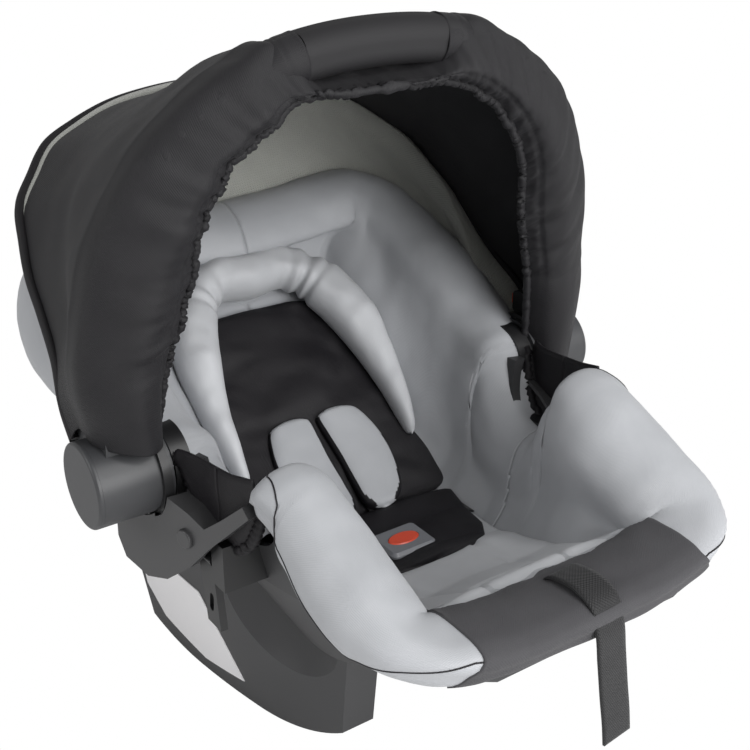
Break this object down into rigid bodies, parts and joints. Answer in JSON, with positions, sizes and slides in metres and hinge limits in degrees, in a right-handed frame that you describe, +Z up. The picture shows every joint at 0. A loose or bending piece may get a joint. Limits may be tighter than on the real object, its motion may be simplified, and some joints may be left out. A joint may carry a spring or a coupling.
{
  "type": "infant car seat",
  "caption": "Rear-facing infant carrier seat: moulded bucket on a rocker base, padded cover, harness, swinging carry handle and folding canopy.",
  "frame": {"origin": "on the ground under the middle of the seat's length and width", "axes": "+Z up, +X across the seat, the foot end at -Y and the head end at +Y"},
  "size_m": [0.466, 0.5698, 0.5771],
  "materials": {
    "charcoal_plastic": "grained moulded plastic",
    "grey_plastic": "smooth moulded plastic",
    "black_plastic": "satin moulded plastic",
    "orange_plastic": "smooth",
    "red_plastic": "smooth",
    "white_plate": "plain printed film",
    "steel": "brushed",
    "black_rubber": "soft touch",
    "black_fabric": "woven",
    "grey_fabric": "woven satin",
    "plush": "short pile",
    "webbing": "woven webbing"
  },
  "bodies": {
    "seat": {"seat_shell": "charcoal_plastic", "base_right": "charcoal_plastic", "base_left": "charcoal_plastic", "side_labels": "white_plate", "belt_guide_right": "charcoal_plastic", "belt_guide_left": "charcoal_plastic", "guide_bosses": "charcoal_plastic", "latch_bracket_right": "black_plastic", "latch_bracket_left": "black_plastic", "latch_pins": "steel", "hub_plate_right": "black_plastic", "hub_plate_left": "black_plastic", "pivot_bolts": "steel", "canopy_back_panel": "plush", "foot_patch": "black_fabric", "seat_cover_seat": "grey_fabric", "seat_cover_head": "grey_fabric", "cover_studs": "grey_plastic", "insert_back": "black_fabric", "seat_cushion": "grey_fabric", "insert_seat": "black_fabric", "head_hugger": "grey_fabric", "shoulder_strap_right": "webbing", "shoulder_strap_left": "webbing", "shoulder_pad_right": "grey_fabric", "shoulder_pad_left": "grey_fabric", "hip_strap_right": "webbing", "hip_strap_left": "webbing", "crotch_strap": "webbing", "strap_anchor": "steel", "splitter_plate": "steel", "buckle_body": "black_plastic", "buckle_face": "black_plastic", "buckle_spring": "steel", "adjuster_body": "black_plastic", "adjuster_pin": "steel", "adjuster_strap": "webbing"},
    "handle": {"handle_hub_right": "charcoal_plastic", "handle_hub_left": "charcoal_plastic", "hub_cap_right": "charcoal_plastic", "hub_cap_left": "charcoal_plastic", "lock_gear_right": "black_plastic", "lock_gear_left": "black_plastic", "handle_tube": "charcoal_plastic", "handle_grip": "black_rubber", "canopy_fabric": "black_fabric", "canopy_sleeve": "black_fabric"},
    "canopy_bow": {"canopy_bow": "steel", "bow_tab_right": "black_plastic", "bow_tab_left": "black_plastic"},
    "release_button_right": {"release_button_right": "orange_plastic"},
    "release_button_left": {"release_button_left": "orange_plastic"},
    "buckle_button": {"buckle_button": "red_plastic"},
    "tongue_right": {"buckle_tongue_right": "black_plastic"},
    "tongue_left": {"buckle_tongue_left": "black_plastic"},
    "adjuster_lever": {"adjuster_lever": "steel"},
    "latch_lever_right": {"latch_lever_right": "black_plastic"},
    "latch_lever_left": {"latch_lever_left": "black_plastic"}
  },
  "joints": [
    {"name": "handle_pivot", "type": "hinge", "parent": "seat", "child": "handle", "pos_m": [0, 0.022, 0.264], "axis": [-1, 0, 0], "range_deg": [0, 115], "deforming": ["canopy_fabric", "canopy_sleeve", "canopy_back_panel"]},
    {"name": "canopy_bow_pivot", "type": "hinge", "parent": "handle", "child": "canopy_bow", "pos_m": [0, 0.022, 0.264], "axis": [-1, 0, 0], "range_deg": [-45, 0]},
    {"name": "release_button_right_press", "type": "slide", "parent": "handle", "child": "release_button_right", "axis": [0, -1, 0], "range_m": [0, 0.005], "stiffness_N_per_m": 400},
    {"name": "release_button_left_press", "type": "slide", "parent": "handle", "child": "release_button_left", "axis": [0, -1, 0], "range_m": [0, 0.005], "stiffness_N_per_m": 400},
    {"name": "buckle_button_press", "type": "slide", "parent": "seat", "child": "buckle_button", "axis": [0, 0, -1], "range_m": [0, 0.0025], "stiffness_N_per_m": 1500, "deforming": ["buckle_spring"]},
    {"name": "tongue_right_release", "type": "slide", "parent": "seat", "child": "tongue_right", "axis": [0, 1, 0], "range_m": [0, 0.02], "deforming": ["shoulder_strap_right", "hip_strap_right"]},
    {"name": "tongue_left_release", "type": "slide", "parent": "seat", "child": "tongue_left", "axis": [0, 1, 0], "range_m": [0, 0.02], "deforming": ["shoulder_strap_left", "hip_strap_left"]},
    {"name": "adjuster_lever_press", "type": "hinge", "parent": "seat", "child": "adjuster_lever", "pos_m": [0, -0.223, 0.213], "axis": [-1, 0, 0], "range_deg": [0, 12], "stiffness_Nm_per_rad": 0.5},
    {"name": "latch_lever_right_pull", "type": "hinge", "parent": "seat", "child": "latch_lever_right", "pos_m": [0.161, -0.03, 0.21], "axis": [0, -1, 0], "range_deg": [0, 12], "stiffness_Nm_per_rad": 0.8},
    {"name": "latch_lever_left_pull", "type": "hinge", "parent": "seat", "child": "latch_lever_left", "pos_m": [-0.161, -0.03, 0.21], "axis": [0, 1, 0], "range_deg": [0, 12], "stiffness_Nm_per_rad": 0.8}
  ],
  "couplings": [
    {"joint": "canopy_bow_pivot", "follows": "handle_pivot", "ratio": -0.3913}
  ]
}
